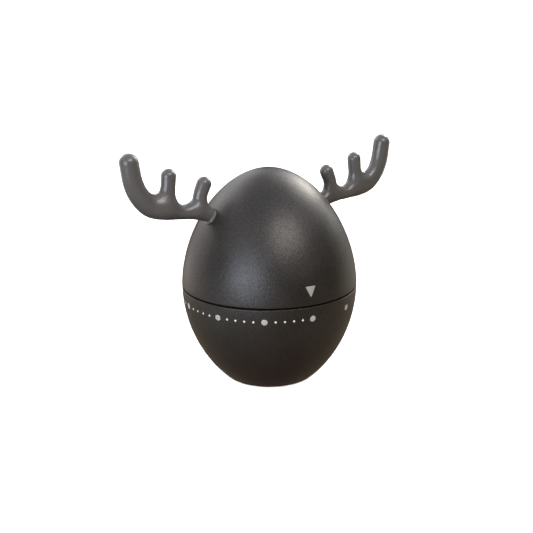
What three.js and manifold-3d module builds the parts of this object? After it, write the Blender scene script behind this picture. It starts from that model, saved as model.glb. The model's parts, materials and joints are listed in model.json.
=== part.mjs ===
// An egg-shaped clockwork kitchen timer with two antlers.
// The lower half stands still and carries the minute scale. The upper half is the knob: it is wound
// clockwise, seen from above, and the movement under it drives it back to zero and rings a gong.
// Millimetres, +Z up, the origin at the middle of the foot. The zero mark looks along -Y and the
// antlers stand out along +X and -X.
import * as THREE from "three";
import { mergeVertices } from "three/addons/utils/BufferGeometryUtils.js";
import Module from "manifold-3d";

const wasm = await Module();
wasm.setup();

// ---------------------------------------------------------------- driving dimensions

// The egg. Its radius at a height h over the seam is EGG_R * (1 - (h / height) ** power) ** root.
const EGG_R = 30;
const TOP = { height: 39.5, power: 1.79, root: 0.532 };
const BOTTOM = { height: 40.1, power: 2, root: 0.589 };
const SEAM_Z = 33.5;
const WALL = 2;
const EGG_SIDES = 40;

// The seam: the halves stand apart a little, and a lip of the lower half hides the gap.
const SEAM_GAP = 0.6;
const EDGE_ROUND = 0.3;
const LIP_CLEARANCE = 0.4;
const LIP_WALL = 1.2;
const LIP_RISE = 2.2;

// The foot.
const FOOT_R = 13.3;
const FOOT_PROUD = 0.8;
const FOOT_THICK = 1.6;
const FLOOR_THICK = 2.15;

// Clearances between pieces.
const TOUCH = 0.05; // between faces that rest on each other
const SLIP = 0.1; // round a shaft in its hole, and round a pressed or screwed shank

// The movement: two plates on pillars.
const PLATE_R = 18.2;
const PLATE_THICK = 1;
const LOWER_PLATE_Z = 9;
const PLATES_APART = 10;
const PILLAR_R = 1.5;
const PILLAR_RING_R = 16.3;
const PILLAR_ANGLES = [44, 344, 284, 222];
const TENON_R = 0.9;
const RIVET_RISE = 0.4;

// The screws that hold the movement in the lower half.
const SCREW_RING_R = 10.6;
const SCREW_ANGLES = [30, 150, 270];
const SCREW_R = 1;
const SCREW_HEAD_R = 1.9;
const SCREW_HEAD_THICK = 1.1;
const BOSS_R = 2.3;

// The main arbor and what sits on it.
const ARBOR_R = 2;
const CLIP_GROOVE_R = 1.5;
const ARBOR_CLIP_THICK = 0.6;
const CLIP_OVER_NUT = 1.2;
const ARBOR_FLAT = 1.3; // from the axis to the flat that drives the upper half
const HUB_R = 4.2;
const HUB_OVER_CLIP = 1.6;
const HUB_GRIP = 8; // how far the arbor reaches into the hub
const RIB_THICK = 1.4;
const RIB_BOTTOM_Z = 47;
const RATCHET_TEETH = 12;
const RATCHET_R = 4.4;
const CAM_R = 5;
const STOP_REACH = 6.8;
const TURN_DEG = 330; // the knob's travel, from 0 to 55 minutes

// The mainspring and its cup.
const CUP_R = 8;
const CUP_WALL = 0.5;
const CUP_OVER_FLOOR = 0.4;
const SPRING_THICK = 0.25;
const SPRING_TURNS = 5;

// The gear train. A pinion meshes with the wheel before it. A rise is over the lower plate's top.
const WHEEL_THICK = 0.8;
const PRESSURE_ANGLE = 28;
const PIVOT_R = 0.5;
const SHANK_R = 0.9;
const GREAT = { teeth: 54, module: 0.4, rise: 1.2 };
const SECOND = { teeth: 45, module: 0.35, rise: 3.4 };
const THIRD = { teeth: 45, module: 0.3, rise: 5.3 };
const PINION_TEETH = 9;
const PINION_PAST_WHEEL = 0.25;
const WINDOW_R = 2; // the great wheel's round windows
const WINDOW_INSET = 3.8; // from the great wheel's pitch circle, as the click's is
const CLICK_INSET = 2.8;
const ARBOR_RING_R = 12.7; // the third, escape, pallet and hammer arbors stand on this circle
const ESCAPE = { teeth: 30, radius: 5, rise: 7.2 };
const PALLET_REACH = 5;
const PALLET_SWING_DEG = 4;
const PALLET_CLEARANCE = 0.2;
const PALLET_SHANK_R = 0.8;
const BALANCE = { length: 9.4, width: 1.6, rise: 8.5 };

// The striker: a star on the second arbor flicks the hammer, which the cam holds off until zero.
const STAR = { teeth: 8, radius: 2.6, rise: 6.6 };
const CAM_RISE = 7.7;
const CAM_NOTCH = 1.2;
const STOP_RISE = 8.75;
const HAMMER_ANGLE = 235;
const HAMMER_HEAD_R = 1.6;
const HAMMER_GAP = 0.8;
const HAMMER_SHAFT_R = 0.8;

// The gong and its post. A rise is over the movement's top.
const GONG_R = 17.5;
const GONG_WALL = 0.8;
const GONG_RIM_RISE = 0.7;
const GONG_SEAT_RISE = 8.8;
const POST_R = 3.2;
const POST_THREAD_R = 2.8;
const NUT_FLATS = 7.5;
const NUT_THICK = 2;

// The antlers, as limbs in the plane y = 0: [x, height over the seam, half width, half thickness].
// The beam starts inside the wall, and both tines start inside the beam.
const BEAM = [
  [20.6, 25.2, 2.9, 2.9],
  [23.8, 26.7, 2.8, 2.7],
  [28.0, 27.7, 2.5, 2.5],
  [32.5, 28.0, 2.35, 2.4],
  [37.1, 29.1, 2.9, 2.45],
  [41.6, 30.6, 3.4, 2.5],
  [45.1, 33.8, 3.2, 2.6],
  [47.2, 38.3, 3.05, 2.7],
  [48.3, 44.7, 2.9, 2.75],
];
const NEAR_TINE = [
  [26.6, 28.0, 2.9, 2.2],
  [25.6, 30.6, 2.5, 2.2],
  [25.1, 33.0, 2.3, 2.2],
  [23.9, 35.7, 2.4, 2.3],
];
const FAR_TINE = [
  [37.3, 29.6, 3.2, 2.3],
  [36.6, 32.0, 2.65, 2.25],
  [36.1, 35.7, 2.3, 2.2],
  [35.7, 39.2, 2.35, 2.25],
];
const LIMB_SIDES = 10;
const ROOT_HEIGHT = 25.3; // where the spigot's axis meets the egg, over the seam
const SPIGOT_R = 1.5;
const SPIGOT_PAST_WALL = 1.6;
const ROOT_GAP = 0.15;
const COLLAR_R = 3.1;
const COLLAR_THICK = 0.9;
const CLIP_R = 3;
const CLIP_THICK = 0.5;
const CLIP_GAP = 0.5;

// ---------------------------------------------------------------- helpers

const radians = THREE.MathUtils.degToRad;
const polar = (radius, degrees) => [
  radius * Math.cos(radians(degrees)),
  radius * Math.sin(radians(degrees)),
];
const solids = [];

// A closed geometry as a manifold solid, with the faces that collapsed on an axis left out.
function toSolid(geometry) {
  const bare = new THREE.BufferGeometry().setAttribute("position", geometry.getAttribute("position"));
  if (geometry.index) bare.setIndex(geometry.index);
  const merged = mergeVertices(bare, 1e-4);
  const corners = merged.index.array;
  const kept = [];
  for (let i = 0; i < corners.length; i += 3) {
    const [a, b, c] = corners.slice(i, i + 3);
    if (a !== b && b !== c && a !== c) kept.push(a, b, c);
  }
  const made = new wasm.Manifold(
    new wasm.Mesh({
      numProp: 3,
      vertProperties: merged.attributes.position.array,
      triVerts: new Uint32Array(kept),
    }),
  );
  solids.push(made);
  return made;
}

function toGeometry(solid) {
  const mesh = solid.getMesh();
  const geometry = new THREE.BufferGeometry();
  geometry.setAttribute("position", new THREE.BufferAttribute(new Float32Array(mesh.vertProperties), 3));
  geometry.setIndex(new THREE.BufferAttribute(new Uint32Array(mesh.triVerts), 1));
  const faceted = geometry.toNonIndexed();
  faceted.computeVertexNormals();
  return faceted;
}

const signedArea = (points) =>
  points.reduce((sum, [x, y], i) => {
    const [nextX, nextY] = points[(i + 1) % points.length];
    return sum + (x * nextY - nextX * y) / 2;
  }, 0);

// Turns a closed outline of [radius, z] about the Z axis.
function turned(outline, sides = 20) {
  const points = signedArea(outline) > 0 ? [...outline] : [...outline].reverse();
  points.push(points[0]);
  const lathe = new THREE.LatheGeometry(points.map(([r, z]) => new THREE.Vector2(r, z)), sides);
  return toSolid(lathe.rotateX(Math.PI / 2));
}

// Extrudes an outline of [x, y], with round or outlined holes, from one z to another.
function extruded(outline, fromZ, toZ, holes = []) {
  const shape = new THREE.Shape(outline.map(([x, y]) => new THREE.Vector2(x, y)));
  for (const hole of holes) {
    shape.holes.push(new THREE.Path(hole.map(([x, y]) => new THREE.Vector2(x, y))));
  }
  const geometry = new THREE.ExtrudeGeometry(shape, { depth: toZ - fromZ, bevelEnabled: false });
  return toSolid(geometry.translate(0, 0, fromZ));
}

// Small rounds take few sides. A hole and the shaft in it get the same number.
const sidesOf = (radius) => (radius < 1.3 ? 8 : radius < 3 ? 12 : radius < 12 ? 20 : 36);

const circle = (radius, [x, y] = [0, 0], sides = sidesOf(radius)) =>
  Array.from({ length: sides }, (_, i) => {
    const [dx, dy] = polar(radius, (360 * i) / sides);
    return [x + dx, y + dy];
  });

const rod = (radius, fromZ, toZ, at = [0, 0]) => extruded(circle(radius, at), fromZ, toZ);

const block = (width, depth, fromZ, toZ) =>
  extruded(
    [
      [-width / 2, -depth / 2],
      [width / 2, -depth / 2],
      [width / 2, depth / 2],
      [-width / 2, depth / 2],
    ],
    fromZ,
    toZ,
  );

const joined = (first, ...rest) => rest.reduce((sum, one) => sum.add(one), first);
const cut = (first, ...rest) => rest.reduce((left, one) => left.subtract(one), first);

// Moves a solid that was made on the Z axis to [x, y], after a turn about Z.
const placed = (solid, [x, y], degrees = 0) => solid.rotate([0, 0, degrees]).translate([x, y, 0]);

// ---------------------------------------------------------------- materials

const finish = (color, roughness, metalness) =>
  new THREE.MeshStandardMaterial({ color, roughness, metalness });
const FINISHES = {
  shell: finish(0x3b3835, 0.45, 0),
  antler: finish(0x3d3a38, 0.28, 0),
  rubber: finish(0x211f1e, 0.8, 0),
  brass: finish(0xb59545, 0.35, 1),
  steel: finish(0x9a9c9e, 0.35, 1),
  spring_steel: finish(0x5b6675, 0.3, 1),
  gong_steel: finish(0xc9cbcd, 0.15, 1),
};

const timer = new THREE.Group();
function add(name, solid, look) {
  const mesh = new THREE.Mesh(toGeometry(solid), FINISHES[look]);
  mesh.name = name;
  timer.add(mesh);
}

// ---------------------------------------------------------------- the egg's outline

function eggRadius(height) {
  const half = height >= 0 ? TOP : BOTTOM;
  const share = Math.min(1, Math.abs(height) / half.height);
  return EGG_R * (1 - share ** half.power) ** half.root;
}

// The outward normal of the egg's outline, as [radial, up].
function eggNormal(height) {
  const step = 1e-4;
  const limit = height >= 0 ? TOP.height : BOTTOM.height;
  const above = Math.min(height + step, limit);
  const below = Math.max(height - step, -limit);
  const slope = (eggRadius(above) - eggRadius(below)) / (above - below);
  const length = Math.hypot(1, slope);
  return [1 / length, -slope / length];
}

// Points along the egg's outline, moved out by grow, from one height over the seam to another.
function eggOutline(fromHeight, toHeight, steps, grow = 0) {
  const limit = Math.max(fromHeight, toHeight) > 0 ? TOP.height : BOTTOM.height;
  const start = Math.asin(fromHeight / limit);
  const end = Math.asin(toHeight / limit);
  return Array.from({ length: steps + 1 }, (_, i) => {
    const height = limit * Math.sin(start + ((end - start) * i) / steps);
    if (height >= TOP.height - 1e-6) return [0, SEAM_Z + TOP.height + grow];
    const [radial, up] = eggNormal(height);
    return [eggRadius(height) + grow * radial, SEAM_Z + height + grow * up];
  });
}

// The points of an outline that stand clear of a floor.
const clearOf = (floorZ, points) => points.filter(([, z]) => z > floorZ + 0.2);

// ---------------------------------------------------------------- layout worked out from the above

const RIM_LOW_Z = SEAM_Z - SEAM_GAP / 2; // top of the lower wall
const RIM_HIGH_Z = SEAM_Z + SEAM_GAP / 2; // bottom of the upper wall
const LIP_OUTER_R = EGG_R - WALL - LIP_CLEARANCE;
const LIP_INNER_R = LIP_OUTER_R - LIP_WALL;
const SHELL_BOTTOM_Z = FOOT_PROUD;
const RECESS_Z = FOOT_THICK + TOUCH;
const FLOOR_TOP_Z = RECESS_Z + FLOOR_THICK;
const PLATE_TOP_Z = LOWER_PLATE_Z + PLATE_THICK;
const UPPER_PLATE_Z = PLATE_TOP_Z + PLATES_APART;
const MOVEMENT_TOP_Z = UPPER_PLATE_Z + PLATE_THICK;
const CUP_Z = FLOOR_TOP_Z + CUP_OVER_FLOOR;
const GREAT_Z = PLATE_TOP_Z + GREAT.rise;
const RATCHET_Z = GREAT_Z + WHEEL_THICK + 0.2;
const CAM_Z = PLATE_TOP_Z + CAM_RISE;
const STOP_Z = PLATE_TOP_Z + STOP_RISE;
const STAR_Z = PLATE_TOP_Z + STAR.rise;
const ESCAPE_Z = PLATE_TOP_Z + ESCAPE.rise;
const GONG_RIM_Z = MOVEMENT_TOP_Z + GONG_RIM_RISE;
const GONG_SEAT_Z = MOVEMENT_TOP_Z + GONG_SEAT_RISE;
const ARBOR_CLIP_Z = GONG_SEAT_Z + GONG_WALL + NUT_THICK + CLIP_OVER_NUT;
const HUB_BOTTOM_Z = ARBOR_CLIP_Z + ARBOR_CLIP_THICK + HUB_OVER_CLIP;
const ARBOR_TOP_Z = HUB_BOTTOM_Z + HUB_GRIP;

const pitchRadius = (teeth, module) => (teeth * module) / 2;
const centreDistance = (wheel) => pitchRadius(wheel.teeth + PINION_TEETH, wheel.module);
// The angle that a chord covers on the circle of small arbors.
const chordAngle = (chord) => THREE.MathUtils.radToDeg(2 * Math.asin(chord / (2 * ARBOR_RING_R)));

const GREAT_TO_SECOND = centreDistance(GREAT);
const SECOND_ANGLE = 180;
const SECOND_AT = polar(GREAT_TO_SECOND, SECOND_ANGLE);
// The third arbor is on the circle of small arbors, at the second wheel's distance from its arbor.
const THIRD_ANGLE =
  SECOND_ANGLE -
  THREE.MathUtils.radToDeg(
    Math.acos(
      (GREAT_TO_SECOND ** 2 + ARBOR_RING_R ** 2 - centreDistance(SECOND) ** 2) /
        (2 * GREAT_TO_SECOND * ARBOR_RING_R),
    ),
  );
const THIRD_AT = polar(ARBOR_RING_R, THIRD_ANGLE);
const ESCAPE_ANGLE = THIRD_ANGLE - chordAngle(centreDistance(THIRD));
const ESCAPE_AT = polar(ARBOR_RING_R, ESCAPE_ANGLE);
const PALLET_DISTANCE = Math.hypot(ESCAPE.radius, PALLET_REACH);
const PALLET_ANGLE = ESCAPE_ANGLE - chordAngle(PALLET_DISTANCE);
const PALLET_AT = polar(ARBOR_RING_R, PALLET_ANGLE);
const HAMMER_AT = polar(ARBOR_RING_R, HAMMER_ANGLE);

const angleTo = ([x1, y1], [x2, y2]) => THREE.MathUtils.radToDeg(Math.atan2(y2 - y1, x2 - x1));
const distance = ([x1, y1], [x2, y2]) => Math.hypot(x2 - x1, y2 - y1);

// ---------------------------------------------------------------- the lower half

function lowerShell() {
  const bottom = SHELL_BOTTOM_Z - SEAM_Z;
  const outside = eggOutline(-SEAM_GAP / 2 - EDGE_ROUND, bottom + EDGE_ROUND, 8);
  const inside = clearOf(
    FLOOR_TOP_Z,
    eggOutline(bottom + 1.5, -WALL - LIP_CLEARANCE - LIP_WALL, 6, -WALL),
  );
  const floorEdge = inside[0][0] - 0.6;
  const outline = [
    [0, RECESS_Z],
    [FOOT_R + SLIP, RECESS_Z],
    [FOOT_R + SLIP, SHELL_BOTTOM_Z],
    [outside.at(-1)[0] - EDGE_ROUND, SHELL_BOTTOM_Z],
    ...outside.reverse(),
    [EGG_R - EDGE_ROUND, RIM_LOW_Z],
    [LIP_OUTER_R, RIM_LOW_Z],
    [LIP_OUTER_R, SEAM_Z + LIP_RISE],
    [LIP_INNER_R, SEAM_Z + LIP_RISE],
    [LIP_INNER_R, SEAM_Z - WALL],
    ...inside.reverse(),
    [floorEdge, FLOOR_TOP_Z],
    [0, FLOOR_TOP_Z],
  ];
  const bosses = SCREW_ANGLES.map((angle) =>
    rod(BOSS_R, FLOOR_TOP_Z - 1, LOWER_PLATE_Z - TOUCH, polar(SCREW_RING_R, angle)),
  );
  const bores = SCREW_ANGLES.map((angle) =>
    joined(
      rod(SCREW_R + SLIP, 0, LOWER_PLATE_Z, polar(SCREW_RING_R, angle)),
      rod(SCREW_HEAD_R + SLIP, 0, RECESS_Z + SCREW_HEAD_THICK + SLIP, polar(SCREW_RING_R, angle)),
    ),
  );
  return cut(joined(turned(outline, EGG_SIDES), ...bosses), ...bores);
}

function footPad() {
  const edge = 0.4;
  return turned(
    [
      [0, 0],
      [FOOT_R - edge, 0],
      [FOOT_R, edge],
      [FOOT_R, FOOT_THICK],
      [0, FOOT_THICK],
    ],
    36,
  );
}

function mountingScrew(angle) {
  const at = polar(SCREW_RING_R, angle);
  const headZ = RECESS_Z + TOUCH;
  const slot = placed(block(0.5, 2 * SCREW_HEAD_R + 1, 0, headZ + 0.5), at);
  return joined(
    cut(rod(SCREW_HEAD_R, headZ, headZ + SCREW_HEAD_THICK, at), slot),
    rod(SCREW_R, headZ + SCREW_HEAD_THICK / 2, PLATE_TOP_Z + 0.4, at),
  );
}

// ---------------------------------------------------------------- the movement's frame

const SCREW_HOLES = SCREW_ANGLES.map((angle) => circle(SCREW_R + SLIP, polar(SCREW_RING_R, angle)));
const TENON_HOLES = PILLAR_ANGLES.map((angle) =>
  circle(TENON_R + SLIP, polar(PILLAR_RING_R, angle)),
);
const PIVOTS = [SECOND_AT, THIRD_AT, ESCAPE_AT, PALLET_AT];
const PIVOT_HOLES = PIVOTS.map((at) => circle(PIVOT_R + SLIP, at));
const CUP_TAB = { width: 2, angles: [90, 210, 330] };
const CUP_TAB_R = CUP_R - CUP_WALL / 2;
const STOP_PIN_R = 0.6;
const STOP_PIN_AT = polar(STOP_REACH - 0.6, 90);
const SPRING_POST_AT = polar(9, 250);
const SPRING_POST_R = 0.6;

function tabSlots() {
  return CUP_TAB.angles.map((angle) =>
    placed(
      block(CUP_TAB.width + 2 * SLIP, CUP_WALL + 2 * SLIP, LOWER_PLATE_Z - 1, PLATE_TOP_Z + 1),
      polar(CUP_TAB_R, angle),
      angle + 90,
    ),
  );
}

function lowerPlate() {
  const holes = [
    circle(ARBOR_R + SLIP),
    circle(HAMMER_SHAFT_R + SLIP, HAMMER_AT),
    ...SCREW_HOLES,
    ...TENON_HOLES,
    ...PIVOT_HOLES,
  ];
  return cut(extruded(circle(PLATE_R), LOWER_PLATE_Z, PLATE_TOP_Z, holes), ...tabSlots());
}

function upperPlate() {
  const holes = [
    circle(ARBOR_R + SLIP),
    circle(HAMMER_SHAFT_R + SLIP, HAMMER_AT),
    circle(STOP_PIN_R + SLIP, STOP_PIN_AT),
    circle(SPRING_POST_R + SLIP, SPRING_POST_AT),
    ...TENON_HOLES,
    ...PIVOT_HOLES,
  ];
  return extruded(circle(PLATE_R), UPPER_PLATE_Z, MOVEMENT_TOP_Z, holes);
}

function pillar(angle) {
  const at = polar(PILLAR_RING_R, angle);
  return joined(
    rod(PILLAR_R, PLATE_TOP_Z + TOUCH, UPPER_PLATE_Z - TOUCH, at),
    rod(TENON_R, LOWER_PLATE_Z - RIVET_RISE, MOVEMENT_TOP_Z + RIVET_RISE, at),
  );
}

function springCup() {
  const outline = [
    [ARBOR_R + SLIP, CUP_Z],
    [CUP_R, CUP_Z],
    [CUP_R, LOWER_PLATE_Z - TOUCH],
    [CUP_R - CUP_WALL, LOWER_PLATE_Z - TOUCH],
    [CUP_R - CUP_WALL, CUP_Z + CUP_WALL],
    [ARBOR_R + SLIP, CUP_Z + CUP_WALL],
  ];
  const tabs = CUP_TAB.angles.map((angle) =>
    placed(
      block(CUP_TAB.width, CUP_WALL * 0.8, LOWER_PLATE_Z - 1, PLATE_TOP_Z + RIVET_RISE),
      polar(CUP_TAB_R, angle),
      angle + 90,
    ),
  );
  return joined(turned(outline, 24), ...tabs);
}

// A flat spiral strip, from just off the arbor to just inside the cup.
function mainspring() {
  const inner = ARBOR_R + 0.3;
  const outer = CUP_R - CUP_WALL - 0.3 - SPRING_THICK;
  const steps = SPRING_TURNS * 14;
  const spiral = (offset) =>
    Array.from({ length: steps + 1 }, (_, i) =>
      polar(inner + ((outer - inner) * i) / steps + offset, (360 * SPRING_TURNS * i) / steps),
    );
  return extruded(
    [...spiral(0), ...spiral(SPRING_THICK).reverse()],
    CUP_Z + CUP_WALL + 0.2,
    LOWER_PLATE_Z - 0.3,
  );
}

// ---------------------------------------------------------------- the main arbor

function dOutline(radius, flat, sides = sidesOf(radius)) {
  const half = THREE.MathUtils.radToDeg(Math.acos(flat / radius));
  return Array.from({ length: sides + 1 }, (_, i) => polar(radius, half + ((360 - 2 * half) * i) / sides));
}

function mainArbor() {
  const dStart = HUB_BOTTOM_Z - 0.4;
  const lower = CUP_Z - SLIP;
  return joined(
    rod(ARBOR_R, lower, ARBOR_CLIP_Z - SLIP),
    rod(CLIP_GROOVE_R, ARBOR_CLIP_Z - 1, ARBOR_CLIP_Z + ARBOR_CLIP_THICK + 1),
    rod(ARBOR_R, ARBOR_CLIP_Z + ARBOR_CLIP_THICK + SLIP, dStart),
    extruded(dOutline(ARBOR_R, ARBOR_FLAT), dStart - 0.5, ARBOR_TOP_Z),
  );
}

// An open clip that snaps into the arbor's groove and keeps it from dropping through the gong post.
function arborClip() {
  const ring = extruded(circle(3.4), ARBOR_CLIP_Z, ARBOR_CLIP_Z + ARBOR_CLIP_THICK, [
    circle(CLIP_GROOVE_R + SLIP),
  ]);
  return cut(ring, placed(block(4, 2 * CLIP_GROOVE_R, ARBOR_CLIP_Z - 1, ARBOR_CLIP_Z + 2), [3.4, 0]));
}

// A disc with saw teeth: each tooth climbs slowly and drops at once.
function sawOutline(teeth, radius, depth, phase = 0) {
  const outline = [];
  for (let i = 0; i < teeth; i += 1) {
    const start = phase + (360 * i) / teeth;
    outline.push(polar(radius - depth, start));
    outline.push(polar(radius - depth / 2, start + 180 / teeth));
    outline.push(polar(radius, start + 360 / teeth - 1));
  }
  return outline;
}

const RATCHET_DEPTH = 0.7;

function ratchetWheel() {
  return extruded(sawOutline(RATCHET_TEETH, RATCHET_R, RATCHET_DEPTH), RATCHET_Z, RATCHET_Z + WHEEL_THICK, [
    circle(ARBOR_R + TOUCH),
  ]);
}

// The cam lets the hammer go at zero: its notch faces the hammer's tail there.
function alarmCam() {
  const steps = 30;
  const outline = Array.from({ length: steps }, (_, i) => {
    const inNotch = i <= 1 || i === steps - 1;
    return polar(inNotch ? CAM_R - CAM_NOTCH : CAM_R, HAMMER_ANGLE + (360 * i) / steps);
  });
  return extruded(outline, CAM_Z, CAM_Z + WHEEL_THICK, [circle(ARBOR_R + TOUCH)]);
}

// The finger that ends the knob's travel against the stop pin at both ends.
function stopFinger() {
  const half = (360 - TURN_DEG) / 2;
  const fingerAngle = 90 - half;
  const collar = rod(3.4, STOP_Z, STOP_Z + WHEEL_THICK);
  const finger = extruded(
    [
      [0, -0.85],
      [STOP_REACH, -0.85],
      [STOP_REACH, 0.85],
      [0, 0.85],
    ],
    STOP_Z,
    STOP_Z + WHEEL_THICK,
  );
  const bore = rod(ARBOR_R + TOUCH, STOP_Z - 1, STOP_Z + 2);
  return cut(joined(collar, finger.rotate([0, 0, fingerAngle])), bore);
}

const stopPin = () => rod(STOP_PIN_R, STOP_Z - 0.3, MOVEMENT_TOP_Z + RIVET_RISE, STOP_PIN_AT);

// ---------------------------------------------------------------- the gear train

// An involute gear's outline. Backlash thins the teeth, so that they never bind.
function gearOutline(teeth, module, phase, fine) {
  const pitch = pitchRadius(teeth, module);
  const base = pitch * Math.cos(radians(PRESSURE_ANGLE));
  const tip = pitch + 0.92 * module;
  const root = pitch - 1.2 * module;
  const involute = (angle) => Math.tan(angle) - angle;
  const halfAtPitch = (Math.PI / 2 - 0.16) / teeth;
  const halfAt = (radius) =>
    halfAtPitch +
    involute(radians(PRESSURE_ANGLE)) -
    involute(Math.acos(Math.min(1, base / Math.max(radius, base))));
  const radii = fine ? [root, pitch, tip] : [root, tip];
  const outline = [];
  for (let i = 0; i < teeth; i += 1) {
    const centre = phase + (360 * i) / teeth;
    const side = (radius, sign) => polar(radius, centre + sign * THREE.MathUtils.radToDeg(halfAt(radius)));
    for (const radius of radii) outline.push(side(radius, -1));
    for (const radius of [...radii].reverse()) outline.push(side(radius, 1));
  }
  return outline;
}

// The phase of a gear that meshes with one already placed, the line between centres at angle degrees.
function meshingPhase(angle, drivingPhase, drivingTeeth, teeth) {
  const share = ((angle - drivingPhase) * drivingTeeth) / 360;
  return angle + 180 - (360 / teeth) * (0.5 - share);
}

const GREAT_PHASE = 0;
const SECOND_PHASE = meshingPhase(SECOND_ANGLE, GREAT_PHASE, GREAT.teeth, PINION_TEETH);
const THIRD_PHASE = meshingPhase(
  angleTo(SECOND_AT, THIRD_AT),
  SECOND_PHASE,
  SECOND.teeth,
  PINION_TEETH,
);
const ESCAPE_PHASE = meshingPhase(angleTo(THIRD_AT, ESCAPE_AT), THIRD_PHASE, THIRD.teeth, PINION_TEETH);

const CLICK_AT = polar(pitchRadius(GREAT.teeth, GREAT.module) - CLICK_INSET, 8);
const CLICK_RIVET_R = 0.7;

function greatWheel() {
  const ring = pitchRadius(GREAT.teeth, GREAT.module) - WINDOW_INSET;
  const outline = gearOutline(GREAT.teeth, GREAT.module, GREAT_PHASE, false);
  return extruded(outline, GREAT_Z, GREAT_Z + WHEEL_THICK, [
    circle(ARBOR_R + SLIP),
    circle(CLICK_RIVET_R + SLIP, CLICK_AT),
    ...[68, 128, 188, 248, 308].map((angle) => circle(WINDOW_R, polar(ring, angle))),
  ]);
}

function clickRivet() {
  const head = RATCHET_Z + WHEEL_THICK + TOUCH;
  return joined(
    rod(CLICK_RIVET_R, GREAT_Z - 0.2, head + 0.2, CLICK_AT),
    rod(1.1, head, head + 0.2, CLICK_AT),
  );
}

// The click reaches from its rivet to a tooth of the ratchet wheel.
function clickPawl() {
  const tip = polar(RATCHET_R + 0.15, 38);
  const along = angleTo(CLICK_AT, tip);
  const reach = distance(CLICK_AT, tip);
  const arm = placed(
    extruded(
      [
        [0, -0.9],
        [reach, -0.1],
        [reach, 0.25],
        [0, 0.9],
      ],
      RATCHET_Z,
      RATCHET_Z + WHEEL_THICK,
    ),
    CLICK_AT,
    along,
  );
  const eye = rod(1.3, RATCHET_Z, RATCHET_Z + WHEEL_THICK, CLICK_AT);
  return cut(joined(eye, arm), rod(CLICK_RIVET_R + SLIP, RATCHET_Z - 1, RATCHET_Z + 2, CLICK_AT));
}

// A wheel pressed on the shank of an arbor, with a ring of lightening holes.
function trainWheel(wheel, at, phase) {
  const radius = pitchRadius(wheel.teeth, wheel.module);
  const windows = [0, 72, 144, 216, 288].map((angle) => circle(radius * 0.2, polar(radius * 0.6, angle)));
  const z = PLATE_TOP_Z + wheel.rise;
  const flat = extruded(gearOutline(wheel.teeth, wheel.module, phase, false), z, z + WHEEL_THICK, [
    circle(SHANK_R + TOUCH),
    ...windows,
  ]);
  return placed(flat, at);
}

// An arbor with its pinion cut from the solid: pivots in both plates, a shank between them.
function trainArbor(at, meshesWith, phase) {
  const wheelZ = PLATE_TOP_Z + meshesWith.rise;
  const pinion = extruded(
    gearOutline(PINION_TEETH, meshesWith.module, phase, true),
    wheelZ - PINION_PAST_WHEEL,
    wheelZ + WHEEL_THICK + PINION_PAST_WHEEL,
  );
  return placed(
    joined(
      rod(PIVOT_R, LOWER_PLATE_Z + 0.1, MOVEMENT_TOP_Z - 0.1),
      rod(SHANK_R, PLATE_TOP_Z + 0.3, UPPER_PLATE_Z - 0.3),
      pinion,
    ),
    at,
  );
}

function escapeWheel() {
  const wheel = extruded(
    sawOutline(ESCAPE.teeth, ESCAPE.radius, 0.7),
    ESCAPE_Z,
    ESCAPE_Z + WHEEL_THICK * 0.75,
    [
      circle(SHANK_R + TOUCH),
      ...[45, 135, 225, 315].map((angle) => circle(1, polar(2.7, angle))),
    ],
  );
  return placed(wheel, ESCAPE_AT);
}

function strikerStar() {
  const outline = [];
  for (let i = 0; i < STAR.teeth; i += 1) {
    const angle = (360 * i) / STAR.teeth;
    outline.push(polar(STAR.radius, angle));
    outline.push(polar(STAR.radius * 0.62, angle + 180 / STAR.teeth));
  }
  const star = extruded(outline, STAR_Z, STAR_Z + WHEEL_THICK, [circle(SHANK_R + TOUCH)]);
  return placed(star, SECOND_AT);
}

// ---------------------------------------------------------------- pallets and balance

const palletArbor = () =>
  placed(
    joined(
      rod(PIVOT_R, LOWER_PLATE_Z + 0.1, MOVEMENT_TOP_Z - 0.1),
      rod(PALLET_SHANK_R, PLATE_TOP_Z + 0.3, UPPER_PLATE_Z - 0.3),
    ),
    PALLET_AT,
  );

// Two arms that straddle the escape wheel. At full swing their noses just clear its teeth.
function palletLever() {
  const swing = PALLET_REACH * Math.sin(radians(PALLET_SWING_DEG));
  const toWheel = angleTo(PALLET_AT, ESCAPE_AT);
  const lift = swing + PALLET_CLEARANCE;
  const arm = (side) => {
    const outline = [
      [0, -0.6],
      [PALLET_REACH + 0.7, side > 0 ? lift : -lift - 0.9],
      [PALLET_REACH + 0.7, side > 0 ? lift + 0.9 : -lift],
      [0, 0.6],
    ];
    return extruded(outline, ESCAPE_Z - 0.1, ESCAPE_Z + WHEEL_THICK).rotate([0, 0, toWheel + side * 45]);
  };
  const hub = rod(1.4, ESCAPE_Z - 0.1, ESCAPE_Z + WHEEL_THICK);
  const bore = rod(PALLET_SHANK_R + TOUCH, ESCAPE_Z - 1, ESCAPE_Z + 2);
  return placed(cut(joined(hub, arm(1), arm(-1)), bore), PALLET_AT);
}

function balanceBar() {
  const { length, width, rise } = BALANCE;
  const z = PLATE_TOP_Z + rise;
  const bar = joined(
    block(length, width, z, z + WHEEL_THICK),
    rod(1.2, z, z + WHEEL_THICK, [length / 2 - 1, 0]),
    rod(1.2, z, z + WHEEL_THICK, [1 - length / 2, 0]),
    rod(1.5, z, z + WHEEL_THICK),
  );
  const bore = rod(PALLET_SHANK_R + TOUCH, z - 1, z + 2, PALLET_AT);
  return cut(placed(bar, PALLET_AT, PALLET_ANGLE), bore);
}

// ---------------------------------------------------------------- gong and hammer

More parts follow.
